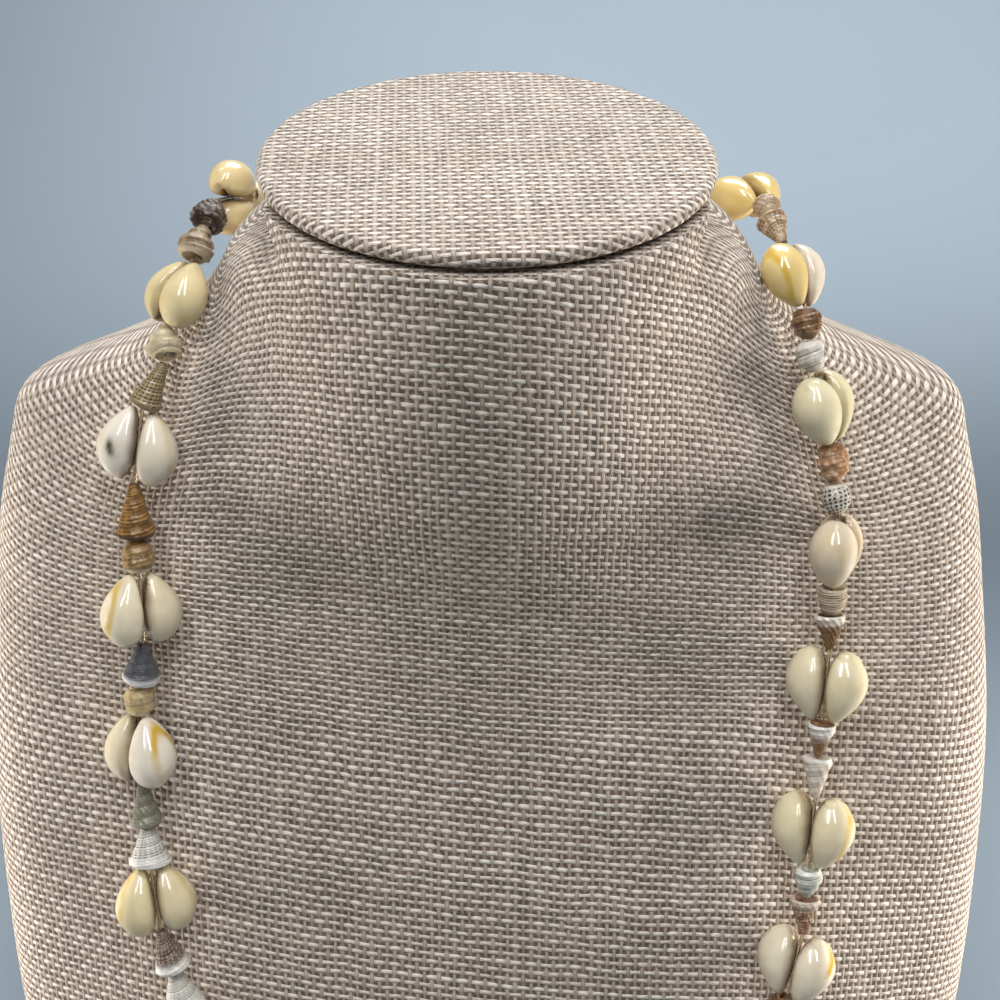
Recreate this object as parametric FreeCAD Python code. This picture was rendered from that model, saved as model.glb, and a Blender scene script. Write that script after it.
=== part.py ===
import FreeCAD
import Part
import math
import os

# Cowrie shell necklace hanging on a plain cloth-covered neck bust. Millimetres, +Z up, the
# bust faces -Y, and the origin is the middle of the flat base that it stands on.

Vec = FreeCAD.Vector
os.makedirs("parts", exist_ok=True)

# The bust: level sections from the base to the top of the neck. Each is a closed outline of a
# front arc, two straight flanks, two side arcs and a back arc.
# height, half width, y of the widest point, side radius, y of the front, front radius,
# y of the back, forward tilt in degrees
BUST_SECTIONS = (
    (0.0, 112.0, 12.0, 30.0, -58.0, 125.0, 62.0, 0.0),
    (30.0, 117.5, 16.0, 30.0, -51.0, 142.0, 69.0, 0.0),
    (60.0, 122.0, 20.0, 30.0, -44.0, 160.0, 76.0, 0.0),
    (110.0, 129.0, 28.0, 30.0, -32.0, 195.0, 84.0, 0.0),
    (155.0, 130.0, 34.0, 30.0, -21.0, 225.0, 89.0, 0.0),
    (200.0, 128.0, 40.0, 30.0, -10.0, 200.0, 92.0, 0.0),
    (235.0, 123.5, 46.0, 28.0, -3.0, 130.0, 91.0, 0.0),
    (258.0, 119.5, 49.0, 24.0, -6.0, 80.0, 88.0, 1.0),
    (271.0, 116.5, 52.0, 20.0, -12.0, 66.0, 86.0, 2.0),
    (280.0, 113.0, 53.0, 15.0, -16.0, 58.0, 84.0, 3.0),
    (286.0, 102.5, 52.0, 16.0, -18.0, 56.0, 82.0, 3.0),
    (293.0, 86.0, 47.0, 22.0, -20.0, 54.0, 79.0, 4.0),
    (304.0, 69.5, 40.0, 28.0, -22.5, 51.0, 76.0, 5.0),
    (316.0, 59.5, 33.0, 34.0, -24.5, 49.0, 74.0, 6.5),
    (328.0, 50.5, 26.0, 40.0, -26.0, 46.0, 71.0, 8.0),
    (341.0, 47.5, 21.0, 44.0, -26.5, 44.0, 68.5, 9.0),
)

# The disc that closes the neck
CAP_RADIUS = 47.8
CAP_THICKNESS = 3.2
CAP_EDGE_RADIUS = 1.5

# The string
THREAD_DIAMETER = 0.8
HOLE_DIAMETER = 1.5
THREAD_BEND_RUN = 1.6
THREAD_END_GAP = 0.05
SHELL_CLEARANCE = 0.12
APEX_POKE = 2.2
APEX_POKE_SHARE = 0.6
TIP_SHIFT = 0.5
SPACER_SEAT = 5.6
SPACER_DROP = 0.8
SEATING_PASSES = 2
SEAT_GAP = 0.35

# Route of the string's middle line round the bust, from the left side of the neck down the left
# of the chest, round the bottom of the loop, up the right and round the nape: x, y, z.
# A height of y is only a start: each point is then set on the bust.
LEFT_ROUTE = (
    (-57.0, 39.0, 324.0),
    (-62.5, 30.0, 319.5),
    (-68.5, 25.0, 314.0),
    (-74.0, 21.5, 306.5),
    (-71.5, 18.0, 302.5),
    (-74.0, 16.5, 293.0),
    (-76.5, 14.0, 279.0),
    (-78.5, 12.0, 266.0),
    (-77.5, 7.5, 243.5),
    (-80.5, 3.5, 222.5),
    (-81.0, -3.5, 196.0),
    (-79.0, -10.0, 172.5),
    (-76.0, -16.0, 152.0),
)
BOTTOM_ROUTE = (
    (-68.0, -25.0, 124.0),
    (-57.0, -35.0, 97.0),
    (-39.0, -45.0, 71.0),
    (-19.0, -52.0, 56.0),
    (0.0, -54.0, 51.5),
    (19.0, -52.0, 56.0),
    (38.0, -45.0, 71.0),
    (55.0, -35.0, 97.0),
    (65.0, -25.0, 124.0),
)
RIGHT_ROUTE = (
    (70.8, -18.5, 149.6),
    (74.5, -12.5, 169.5),
    (75.0, -6.0, 192.5),
    (76.5, 0.0, 213.5),
    (77.5, 6.0, 236.0),
    (77.5, 10.0, 258.0),
    (76.5, 13.5, 276.0),
    (75.0, 15.0, 290.0),
    (72.5, 16.5, 300.0),
    (71.5, 20.0, 306.5),
    (68.0, 26.0, 313.0),
    (60.0, 36.0, 321.0),
)
NAPE_ROUTE = (
    (52.0, 60.0, 321.0),
    (35.0, 80.0, 309.0),
    (0.0, 90.0, 302.0),
    (-35.0, 80.0, 309.0),
    (-52.0, 60.0, 321.0),
)

# Where the first unit starts, before the route's first point
LEFT_LEAD = 18.0

# One row for each unit that shows, in string order: length of its two cowries, how far each
# leans out from the string in degrees, roll of the pair about the string in degrees, then
# kind, length and diameter of each of the two small shells that follow.
LEFT_UNITS = (
    (15.0, 9.0, 35.0, "turban", 8.4, 8.8, "turban", 8.8, 9.6),
    (14.8, 9.5, -15.0, "turban", 9.4, 9.0, "cone", 11.4, 7.6),
    (16.6, 7.0, -31.0, "cone", 12.6, 9.2, "nerite", 8.2, 8.4),
    (17.0, 7.5, -46.0, "cone", 9.8, 9.4, "nerite", 8.4, 8.2),
    (17.2, 6.5, 17.0, "cone", 10.4, 8.0, "cone", 9.8, 10.4),
    (17.2, 8.5, -34.0, "cone", 11.0, 9.0, "cone", 10.6, 10.0),
)
RIGHT_UNITS = (
    (17.2, 7.5, -45.0, "cone", 9.2, 7.6, "nerite", 8.0, 7.6),
    (18.0, 7.5, -40.0, "cone", 9.8, 7.6, "cone", 8.4, 7.2),
    (17.6, 6.0, -36.0, "cone", 8.6, 7.4, "barrel", 6.8, 7.4),
    (16.2, 4.0, 46.0, "nerite", 7.0, 7.4, "cone", 9.0, 7.4),
    (16.0, 5.0, 16.0, "nerite", 7.2, 7.6, "nerite", 7.0, 7.4),
    (14.8, 7.0, -23.0, "cone", 7.8, 7.4, "turban", 6.0, 6.8),
    (15.6, 8.0, -58.0, "turban", 8.0, 8.0, "cone", 9.6, 7.8),
)
# Units that don't show repeat these plainly
PLAIN_UNITS = (
    (16.6, 10.0, 0.0, "cone", 10.6, 8.4, "nerite", 8.4, 8.2),
    (17.0, 10.0, 10.0, "cone", 11.0, 8.8, "cone", 9.6, 9.2),
    (16.4, 10.0, -8.0, "turban", 8.8, 8.4, "cone", 10.4, 8.0),
)
SIZED_COLUMNS = (0, 4, 5, 7, 8)
BOTTOM_COUNT = 8
NAPE_COUNT = 3

# A cowrie of unit length: a narrow drilled end, a wide end and a side arc that joins them,
# turned about its long axis and cut flat below, with a slot for the mouth
COWRIE_NARROW = 0.185
COWRIE_WIDE = 0.285
COWRIE_SIDE = 0.68
COWRIE_FLAT = 0.145
MOUTH_WIDTH = 0.07
MOUTH_DEPTH = 0.09
MOUTH_LENGTH = 0.62

# Turned outlines of the small shells: radius at each suture from the apex to the base, and the
# bulge of each whorl, both as shares of the largest radius
SPACER_KINDS = {
    "cone": ((0.30, 0.52, 0.76, 0.98, 0.58), 0.05),
    "turban": ((0.34, 0.66, 0.90, 0.60), 0.14),
    "nerite": ((0.36, 0.82, 0.56), 0.22),
    "barrel": ((0.62, 0.84, 0.90, 0.78), 0.08),
}


def arc_point(center, radius, direction):
    return Vec(center[0] + radius * direction[0], center[1] + radius * direction[1], 0)


def bust_outline(row):
    """The closed outline of one level section of the bust."""
    height, half_width, widest_y, side_radius, front_y, front_radius, back_y, tilt = row
    front_center = (0.0, front_y + front_radius)
    side_center = (half_width - side_radius, widest_y)
    reach = (side_center[0] - front_center[0], side_center[1] - front_center[1])
    spread = math.hypot(*reach)
    flank = math.atan2(reach[1], reach[0]) - math.acos((front_radius - side_radius) / spread)
    normal = (math.cos(flank), math.sin(flank))
    back_rise = back_y - widest_y
    back_radius = (side_center[0] ** 2 + back_rise ** 2 - side_radius ** 2) / (
        2 * (back_rise - side_radius))
    back_center = (0.0, back_y - back_radius)
    rear = math.atan2(side_center[1] - back_center[1], side_center[0] - back_center[0])
    rear_normal = (math.cos(rear), math.sin(rear))
    side_middle = (math.cos((flank + rear) / 2), math.sin((flank + rear) / 2))

    def mirrored(point):
        return Vec(-point.x, point.y, 0)

    flank_start = arc_point(front_center, front_radius, normal)
    flank_end = arc_point(side_center, side_radius, normal)
    side_top = arc_point(side_center, side_radius, side_middle)
    back_start = arc_point(side_center, side_radius, rear_normal)
    edges = (
        Part.Arc(mirrored(flank_start), Vec(0, front_y, 0), flank_start),
        Part.LineSegment(flank_start, flank_end),
        Part.Arc(flank_end, side_top, back_start),
        Part.Arc(back_start, Vec(0, back_y, 0), mirrored(back_start)),
        Part.Arc(mirrored(back_start), mirrored(side_top), mirrored(flank_end)),
        Part.LineSegment(mirrored(flank_end), mirrored(flank_start)),
    )
    outline = Part.Wire([edge.toShape() for edge in edges])
    outline.rotate(Vec(0, widest_y, 0), Vec(1, 0, 0), tilt)
    outline.translate(Vec(0, 0, height))
    return outline


def make_bust():
    return Part.makeLoft([bust_outline(row) for row in BUST_SECTIONS], True, False)


def make_cap():
    """A thin disc with a rounded edge on the sloping top of the neck."""
    disc = Part.makeCylinder(CAP_RADIUS, CAP_THICKNESS)
    disc = disc.makeFillet(CAP_EDGE_RADIUS, disc.Edges)
    height, _, middle_y, _, _, _, _, tilt = BUST_SECTIONS[-1]
    disc.rotate(Vec(0, 0, 0), Vec(1, 0, 0), tilt)
    disc.translate(Vec(0, middle_y, height))
    return disc


def make_cowrie():
    """One cowrie, 1 long: narrow end at x = 0, wide end at x = 1, flat side at z = 0."""
    narrow_x = COWRIE_NARROW
    wide_x = 1 - COWRIE_WIDE

    def touch(center_x, reach):
        scale = COWRIE_SIDE / reach
        return Vec(side_middle_x + (center_x - side_middle_x) * scale,
                   side_below * (scale - 1), 0)

    def on_arc(center_x, radius, degrees):
        angle = math.radians(degrees)
        return Vec(center_x + radius * math.cos(angle), radius * math.sin(angle), 0)

    narrow_touch = touch(narrow_x, narrow_reach)
    wide_touch = touch(wide_x, wide_reach)
    narrow_turn = math.degrees(math.atan2(narrow_touch.y, narrow_touch.x - narrow_x))
    wide_turn = math.degrees(math.atan2(wide_touch.y, wide_touch.x - wide_x))
    outline = Part.Wire([
        Part.Arc(Vec(0, 0, 0), on_arc(narrow_x, COWRIE_NARROW, (180 + narrow_turn) / 2),
                 narrow_touch).toShape(),
        Part.Arc(narrow_touch, Vec(side_middle_x, pair_half_width, 0), wide_touch).toShape(),
        Part.Arc(wide_touch, on_arc(wide_x, COWRIE_WIDE, wide_turn / 2), Vec(1, 0, 0)).toShape(),
        Part.LineSegment(Vec(1, 0, 0), Vec(0, 0, 0)).toShape(),
    ])
    egg = Part.Face(outline).revolve(Vec(0, 0, 0), Vec(1, 0, 0), 360)
    below_flat = Part.makeBox(2, 2, 1, Vec(-0.5, -1, -1 - COWRIE_FLAT))
    mouth = Part.makeBox(MOUTH_LENGTH, MOUTH_WIDTH, MOUTH_DEPTH + 1,
                         Vec(0.5 - MOUTH_LENGTH / 2, -MOUTH_WIDTH / 2, -1 - COWRIE_FLAT))
    shell = egg.cut(below_flat).cut(mouth)
    shell.translate(Vec(0, 0, COWRIE_FLAT))
    return shell


def make_spacer(kind, length, diameter):
    """One small shell turned about x, its apex at x = 0, drilled for the thread."""
    sutures, bulge = SPACER_KINDS[kind]
    radius = diameter / 2
    step = length / (len(sutures) - 1)
    rim = [Vec(index * step, share * radius, 0) for index, share in enumerate(sutures)]
    bore = HOLE_DIAMETER / 2
    edges = [Part.LineSegment(Vec(0, bore, 0), rim[0]).toShape()]
    for start, end in zip(rim, rim[1:]):
        across = Vec(start.y - end.y, end.x - start.x, 0).normalize()
        middle = (start + end) * 0.5 + across * (bulge * radius)
        edges.append(Part.Arc(start, middle, end).toShape())
    edges.append(Part.LineSegment(rim[-1], Vec(length, bore, 0)).toShape())
    edges.append(Part.LineSegment(Vec(length, bore, 0), Vec(0, bore, 0)).toShape())
    return Part.Face(Part.Wire(edges)).revolve(Vec(0, 0, 0), Vec(1, 0, 0), 360)


def placed(shape, origin, along, up):
    """The shape with its x axis along the string and its z axis towards up."""
    side = up.cross(along).normalize()
    top = along.cross(side).normalize()
    matrix = FreeCAD.Matrix(
        along.x, side.x, top.x, origin.x,
        along.y, side.y, top.y, origin.y,
        along.z, side.z, top.z, origin.z,
        0, 0, 0, 1)
    copy = shape.copy()
    copy.Placement = FreeCAD.Placement(matrix)
    return copy


def seated(point, bust, height):
    """The point moved straight out from the nearest place on the bust to the given height."""
    gap, pairs, _ = bust.distToShape(Part.Vertex(point))
    on_bust = pairs[0][0]
    outward = (point - on_bust).normalize()
    return on_bust + outward * height, outward


def unit_frames(index):
    """Start, direction, bend at the start and the two leaning directions of a unit's cowries."""
    row = units[index]
    lean = math.radians(row[1])
    start = joints[3 * index]
    along = (joints[3 * index + 1] - start).normalize()
    incoming = (start - joints[3 * index - 1]).normalize()
    meeting = (along + incoming).normalize()
    up = outwards[3 * index] + outwards[3 * index + 1]
    up = (up - along * up.dot(along)).normalize()
    side = FreeCAD.Rotation(along, row[2]).multVec(along.cross(up))
    frames = []
    for outward in (side, side * -1):
        shell_along = along * math.cos(lean) + outward * math.sin(lean)
        shell_up = outward * math.cos(lean) - along * math.sin(lean)
        nose = shell_along * (COWRIE_NARROW * row[0]) + shell_up * (COWRIE_FLAT * row[0])
        shift = COWRIE_NARROW * row[0] + SHELL_CLEARANCE - nose.dot(meeting)
        tip = start + along * max(shift, SHELL_CLEARANCE) + outward * SHELL_CLEARANCE
        frames.append((tip, shell_along, shell_up))
    return frames


def pair_clearance(index):
    """The smallest gap between a unit's cowries and the bust, from the middles of their arcs."""
    length = units[index][0]
    stations = ((COWRIE_NARROW, COWRIE_NARROW), (side_middle_x, pair_half_width),
                (1 - COWRIE_WIDE, COWRIE_WIDE))
    gaps = []
    for tip, shell_along, shell_up in unit_frames(index):
        for x, radius in stations:
            middle = tip + shell_along * (x * length) + shell_up * (COWRIE_FLAT * length)
            gaps.append(bust.distToShape(Part.Vertex(middle))[0] - radius * length)
    return min(gaps)


def bend_trim(index, radius):
    """How much shorter a shell of this end radius is made where the string bends at a joint."""
    before = joints[index % len(joints)] - joints[index % len(joints) - 1]
    after = joints[(index + 1) % len(joints)] - joints[index % len(joints)]
    return SHELL_CLEARANCE + radius * math.tan(before.getAngle(after) / 2)


def thread_solid(points):
    """A round line of straight runs joined by tangent arcs at the points. Its two ends meet inside
    the drilled hole of the first piece, a hair apart."""
    bends = []
    for index, corner in enumerate(points):
        before = points[index - 1] - corner
        after = points[(index + 1) % len(points)] - corner
        run = min(THREAD_BEND_RUN, 0.45 * before.Length, 0.45 * after.Length)
        half_angle = before.getAngle(after) / 2
        start = corner + before.normalize() * run
        end = corner + after.normalize() * run
        inward = (before + after).normalize()
        middle = corner + inward * run * math.tan(half_angle) * (1 / math.sin(half_angle) - 1)
        bends.append((start, middle, end))
    direction = (points[1] - points[0]).normalize()
    meeting = (points[0] + points[1]) * 0.5
    edges = []
    leave = meeting + direction * THREAD_END_GAP
    for start, middle, end in bends[1:] + bends[:1]:
        edges.append(Part.LineSegment(leave, start).toShape())
        edges.append(Part.Arc(start, middle, end).toShape())
        leave = end
    edges.append(Part.LineSegment(leave, meeting).toShape())
    path = Part.Wire(edges)
    ring = Part.Wire(Part.makeCircle(THREAD_DIAMETER / 2, meeting + direction * THREAD_END_GAP,
                                     direction))
    solid = path.makePipeShell([ring], True, False)
    print("thread length", round(path.Length), "volume ratio",
          round(solid.Volume / (path.Length * math.pi * THREAD_DIAMETER ** 2 / 4), 3))
    return solid


narrow_reach = COWRIE_SIDE - COWRIE_NARROW
wide_reach = COWRIE_SIDE - COWRIE_WIDE
ends_apart = 1 - COWRIE_WIDE - COWRIE_NARROW
side_offset = (narrow_reach ** 2 - wide_reach ** 2 + ends_apart ** 2) / (2 * ends_apart)
side_below = math.sqrt(narrow_reach ** 2 - side_offset ** 2)
side_middle_x = COWRIE_NARROW + side_offset
pair_half_width = COWRIE_SIDE - side_below

bust = make_bust()
bust.exportStep("parts/bust_form.step")
cap = make_cap()
cap.exportStep("parts/neck_cap.step")
print("bust", bust.isValid(), round(bust.Volume), "cap", cap.isValid())

# The middle line of the string as one closed smooth curve
route_points = []
for x, y, z in LEFT_ROUTE + BOTTOM_ROUTE + RIGHT_ROUTE + NAPE_ROUTE:
    route_points.append(seated(Vec(x, y, z), bust, SPACER_SEAT)[0])
route = Part.BSplineCurve()
route.interpolate(Points=route_points, PeriodicFlag=True)
route_length = route.length()
right_start = route.length(0, route.parameter(route_points[len(LEFT_ROUTE + BOTTOM_ROUTE)]))


def apex_poke(unit):
    """How far the first small shell's apex reaches between the open ends of the two cowries."""
    cowrie_length, lean, _, kind, length, diameter = unit[:6]
    sutures, bulge = SPACER_KINDS[kind]
    apex = (sutures[0] + bulge) * diameter / 2
    slope = (sutures[1] - sutures[0]) * diameter / 2 * (len(sutures) - 1) / length
    opening = math.tan(math.radians(lean))
    poke = (cowrie_length * opening - apex - 2 * SHELL_CLEARANCE) / (slope + opening)
    return max(0.0, min(APEX_POKE_SHARE * poke, APEX_POKE))


def pair_run(unit):
    """Length of string that a pair takes up."""
    return unit[0] + TIP_SHIFT - apex_poke(unit)


def unit_length(unit):
    return pair_run(unit) + unit[4] + unit[7]


def plain_units(count, length):
    """Plain units, sized evenly to fill a length of the string."""
    rows = [PLAIN_UNITS[index % len(PLAIN_UNITS)] for index in range(count)]
    scale = length / sum(unit_length(row) for row in rows)
    print("plain units", count, "scale", round(scale, 3))
    return [tuple(value * scale if place in SIZED_COLUMNS else value
                  for place, value in enumerate(row)) for row in rows]


left_total = sum(unit_length(row) for row in LEFT_UNITS)
right_total = sum(unit_length(row) for row in RIGHT_UNITS)
units = list(LEFT_UNITS)
units += plain_units(BOTTOM_COUNT, right_start + LEFT_LEAD - left_total)
units += list(RIGHT_UNITS)
units += plain_units(NAPE_COUNT, route_length - right_start - right_total - LEFT_LEAD)

# Where the pieces meet along the string: at each end of a pair, and between its two small shells
runs = []
for row in units:
    runs += [pair_run(row), row[4], row[7]]
stations = [(sum(runs[:index]) - LEFT_LEAD) % route_length for index in range(len(runs))]


def set_joints(heights):
    """The meeting places on the route, each at its height above the cloth."""
    places = []
    for station, height in zip(stations, heights):
        point = route.value(route.parameterAtDistance(station, 0))
        places.append(seated(point, bust, height))
    return [place[0] for place in places], [place[1] for place in places]


def between_heights(pair_heights):
    """Heights of all the joints, with the middle joint of two small shells a little lower."""
    heights = []
    for index, height in enumerate(pair_heights):
        following = pair_heights[(index + 1) % len(pair_heights)]
        middle = max(SPACER_SEAT, (height + following) / 2 - SPACER_DROP)
        heights += [height, height, middle]
    return heights


pair_heights = [row[0] * pair_half_width + SEAT_GAP for row in units]
for _ in range(SEATING_PASSES):
    joints, outwards = set_joints(between_heights(pair_heights))
    gaps = [pair_clearance(index) for index in range(len(units))]
    pair_heights = [height + SEAT_GAP - gap for height, gap in zip(pair_heights, gaps)]
joints, outwards = set_joints(between_heights(pair_heights))
gaps = [pair_clearance(index) for index in range(len(units))]
print("loop", round(route_length), "right start", round(right_start), "pieces", len(joints))
print("gaps of pairs to the cloth", round(min(gaps), 2), "to", round(max(gaps), 2),
      "heights", round(min(pair_heights), 1), "to", round(max(pair_heights), 1))

thread = thread_solid(joints)
print("thread", thread.isValid(), len(thread.Solids))
thread.exportStep("parts/thread.step")

cowrie = make_cowrie()
spacers = []
for index, row in enumerate(units):
    cowrie_length, _, _, kind_1, _, diameter_1, kind_2, _, diameter_2 = row
    start, middle, last = joints[3 * index:3 * index + 3]
    following = joints[(3 * index + 3) % len(joints)]
    along = (middle - start).normalize()
    hole = Part.makeCylinder(HOLE_DIAMETER / 2, 2 * cowrie_length, start - along, along)
    sized = cowrie.copy()
    sized.scale(cowrie_length, Vec(0, 0, 0))
    shells = [placed(sized, *frame).cut(hole) for frame in unit_frames(index)]
    if not all(shell.isValid() and len(shell.Solids) == 1 for shell in shells):
        print("pair", index + 1, [len(shell.Solids) for shell in shells])
    Part.Compound(shells).exportStep("parts/cowrie_pair_%02d.step" % (index + 1))
    small = ((kind_1, diameter_1, middle, last, 3 * index + 1),
             (kind_2, diameter_2, last, following, 3 * index + 2))
    for kind, diameter, begin, end, joint in small:
        direction = (end - begin).normalize()
        sutures = SPACER_KINDS[kind][0]
        trim = bend_trim(joint, sutures[0] * diameter / 2)
        length = (end - begin).Length - trim - bend_trim(joint + 1, sutures[-1] * diameter / 2)
        shell = make_spacer(kind, length, diameter)
        across = Vec(0, 0, 1) if abs(direction.z) < 0.9 else Vec(0, 1, 0)
        spacers.append(placed(shell, begin + direction * trim, direction, across))

half = 2 * (len(LEFT_UNITS) + BOTTOM_COUNT // 2)
Part.Compound(spacers[:half]).exportStep("parts/spacer_shells_left.step")
Part.Compound(spacers[half:]).exportStep("parts/spacer_shells_right.step")
print("pairs", len(units), "small shells", len(spacers))
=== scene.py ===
import math

import bpy
import numpy as np
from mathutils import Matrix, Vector
from mathutils.bvhtree import BVHTree


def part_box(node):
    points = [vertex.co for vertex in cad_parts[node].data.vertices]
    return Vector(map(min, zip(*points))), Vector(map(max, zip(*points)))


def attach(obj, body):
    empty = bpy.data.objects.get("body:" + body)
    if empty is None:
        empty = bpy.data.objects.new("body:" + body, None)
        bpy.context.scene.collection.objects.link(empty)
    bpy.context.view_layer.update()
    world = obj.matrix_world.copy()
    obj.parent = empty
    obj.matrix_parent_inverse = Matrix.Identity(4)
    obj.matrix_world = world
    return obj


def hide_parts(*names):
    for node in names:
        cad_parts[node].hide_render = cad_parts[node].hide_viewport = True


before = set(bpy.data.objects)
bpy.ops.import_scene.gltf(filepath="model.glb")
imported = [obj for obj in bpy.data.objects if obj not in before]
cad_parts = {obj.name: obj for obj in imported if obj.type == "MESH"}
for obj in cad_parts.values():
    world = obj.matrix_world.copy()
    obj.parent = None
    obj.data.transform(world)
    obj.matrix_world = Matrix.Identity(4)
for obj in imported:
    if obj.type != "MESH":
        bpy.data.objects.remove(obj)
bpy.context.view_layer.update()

# The bust: a hard form under one tight cover of coarse natural linen, sewn to shape with its
# weft straight across the chest and its warp upright, about 2 mm from thread to thread.
THREAD_PITCH = 0.0018
LEVELS = 230
ROUND = 288
COVER_HEIGHT = 0.3405
AXIS_Y = 0.022
NECK_TILT = math.radians(9.0)
NECK_TILTS_FROM = 0.28
NECK_ROOT = 0.215


def grid_faces(rows, columns, closed=True):
    """Quads between the rows of a grid of points, which is closed round its columns."""
    r, c = np.meshgrid(np.arange(rows - 1), np.arange(columns if closed else columns - 1), indexing="ij")
    n = (c + 1) % columns
    quads = np.stack([r * columns + c, r * columns + n, (r + 1) * columns + n, (r + 1) * columns + c], -1)
    return quads.reshape(-1, 4)


def build(name, points, faces, uvs, uv_name, material, attributes=None):
    """A smooth mesh object from points, faces and one UV pair for each corner."""
    mesh = bpy.data.meshes.new(name)
    mesh.from_pydata([tuple(p) for p in points], [], [tuple(int(i) for i in f) for f in faces])
    layer = mesh.uv_layers.new(name=uv_name)
    layer.data.foreach_set("uv", np.asarray(uvs, np.float32).ravel())
    for key, values in (attributes or {}).items():
        made = mesh.attributes.new(key, "FLOAT_COLOR", "POINT")
        made.data.foreach_set("color", np.asarray(values, np.float32).ravel())
    mesh.polygons.foreach_set("use_smooth", [True] * len(mesh.polygons))
    mesh.materials.append(material)
    mesh.validate()
    made = bpy.data.objects.new(name, mesh)
    bpy.context.scene.collection.objects.link(made)
    return made


def triangles(cad):
    """Points and triangles of a CAD node."""
    cad.data.calc_loop_triangles()
    points = np.array([v.co for v in cad.data.vertices], float)
    faces = np.array([t.vertices for t in cad.data.loop_triangles])
    return points, faces


bust_points, bust_faces = triangles(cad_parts["bust_form"])
bust_tree = BVHTree.FromPolygons([tuple(p) for p in bust_points],
                                 [tuple(int(i) for i in f) for f in bust_faces])
bust_low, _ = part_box("bust_form")


def cover_point(share, angle):
    """Where a ray towards the form's upright axis first meets it. Levels tilt with the neck."""
    height = bust_low.z + share * COVER_HEIGHT
    up_the_neck = min(1.0, max(0.0, (height - NECK_TILTS_FROM) / 0.06))
    tilt = math.tan(NECK_TILT) * up_the_neck ** 1.5
    outward = Vector((math.sin(angle), -math.cos(angle), -tilt * math.cos(angle)))
    outside = Vector((0.0, AXIS_Y, height)) + outward * 0.4
    return bust_tree.ray_cast(outside, -outward)[0]


angles = [2 * math.pi * (i + 0.5) / ROUND - math.pi for i in range(ROUND)]
shares = np.linspace(0.0004, 0.9989, LEVELS)
cover = np.array([[cover_point(share, angle) for angle in angles] for share in shares])

# The weft lies in planes that lean forward. Shares of the thread count: how far it is spread
# upwards, leans, gathers over the shoulders and up the neck, and slopes from side to side.
WEFT_SPREAD = 0.78
WEFT_LEAN = 0.51
SHOULDER_GATHER = 0.28
NECK_GATHER = 0.22
WEFT_SLOPE = 0.10
SIDE_TURN = 0.012


def cover_weave(cover):
    """Weave coordinates in threads: round the form from the middle of the front, and up it."""
    steps = np.linalg.norm(np.diff(cover, axis=1), axis=2)
    along = np.concatenate([np.zeros((len(cover), 1)), np.cumsum(steps, axis=1)], axis=1)
    middle = 0.5 * (along[:, ROUND // 2 - 1] + along[:, ROUND // 2])
    across = along - middle[:, None]
    across_end = across[:, -1] + np.linalg.norm(cover[:, 0] - cover[:, -1], axis=1)
    sideways, backwards, height = cover[:, :, 0], cover[:, :, 1] - AXIS_Y, cover[:, :, 2]
    outwards = np.hypot(sideways, backwards)
    drawn_in = np.clip(-np.diff(outwards, axis=0, prepend=outwards[:1]), 0, None)
    at_the_side = np.clip((np.degrees(np.abs(angles)) - 40) / 30, 0, 1)[None, :]
    over_shoulder = at_the_side * np.clip((height - NECK_ROOT) / 0.03, 0, 1)
    drawn_in = np.cumsum(drawn_in * over_shoulder, axis=0)
    depth = AXIS_Y - np.sqrt(backwards ** 2 + SIDE_TURN ** 2)
    neck = np.clip(height - NECK_ROOT, 0, None)
    rise = WEFT_SPREAD * (height + WEFT_LEAN * depth) + WEFT_SLOPE * sideways
    rise = rise + SHOULDER_GATHER * drawn_in + NECK_GATHER * neck
    return across / THREAD_PITCH, across_end / THREAD_PITCH, rise / THREAD_PITCH


across, across_end, rise = cover_weave(cover)
quads = grid_faces(LEVELS, ROUND)
columns = quads % ROUND
rows = quads // ROUND
corner_u = across[rows, columns]
wrapped = (columns == 0) & (columns[:, :1] == ROUND - 1)
corner_u = np.where(wrapped, across_end[rows], corner_u)
corner_v = rise[rows, columns]
uvs = [np.stack([corner_u, corner_v], -1).reshape(-1, 2)]
top_ring = (LEVELS - 1) * ROUND + np.arange(ROUND)
bottom_ring = np.arange(ROUND)
faces = [tuple(q) for q in quads] + [tuple(top_ring), tuple(bottom_ring[::-1])]
points = cover.reshape(-1, 3)
for ring in (top_ring, bottom_ring[::-1]):
    uvs.append(points[ring][:, :2] / THREAD_PITCH)

# Coarse linen: slubbed cream weft dashes lying on darker two-ply warps, with painted brown shade
# in the square gaps between the threads and painted shade where the threads dip and along their
# plies. It gives the eye rows of light dashes on brown.
THREAD_HALF_WIDTH = 0.26
THREAD_ROUND = 0.26
GAP_LEVEL = -0.32


def linear(hex_colour):
    """A colour written as sRGB hex, as the linear RGBA that a socket takes."""
    parts = [int(hex_colour[i:i + 2], 16) / 255 for i in (1, 3, 5)]
    return tuple(c / 12.92 if c <= 0.04045 else ((c + 0.055) / 1.055) ** 2.4 for c in parts) + (1.0,)


def node(tree, kind, settings=None, *values, out=0, **links):
    """Adds a node, sets its properties, fills its sockets with values or with other sockets, and
    gives back one of its outputs. A single word for its settings is its operation."""
    added = tree.nodes.new("ShaderNode" + kind)
    settings = {"operation": settings} if isinstance(settings, str) else settings or {}
    for name, value in settings.items():
        setattr(added, name, value)
    sockets = list(enumerate(values))
    for name, value in links.items():
        numbered = name.startswith("in") and name[2:].isdigit()
        sockets.append((int(name[2:]) if numbered else name.replace("_", " "), value))
    for place, value in sockets:
        if isinstance(value, bpy.types.NodeSocket):
            tree.links.new(value, added.inputs[place])
        else:
            added.inputs[place].default_value = value
    return added.outputs[out]


def new_material(name):
    """A material with its node tree and its surface shader."""
    material = bpy.data.materials.new(name)
    material.use_nodes = True
    tree = material.node_tree
    return material, tree, tree.nodes["Principled BSDF"]


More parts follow.
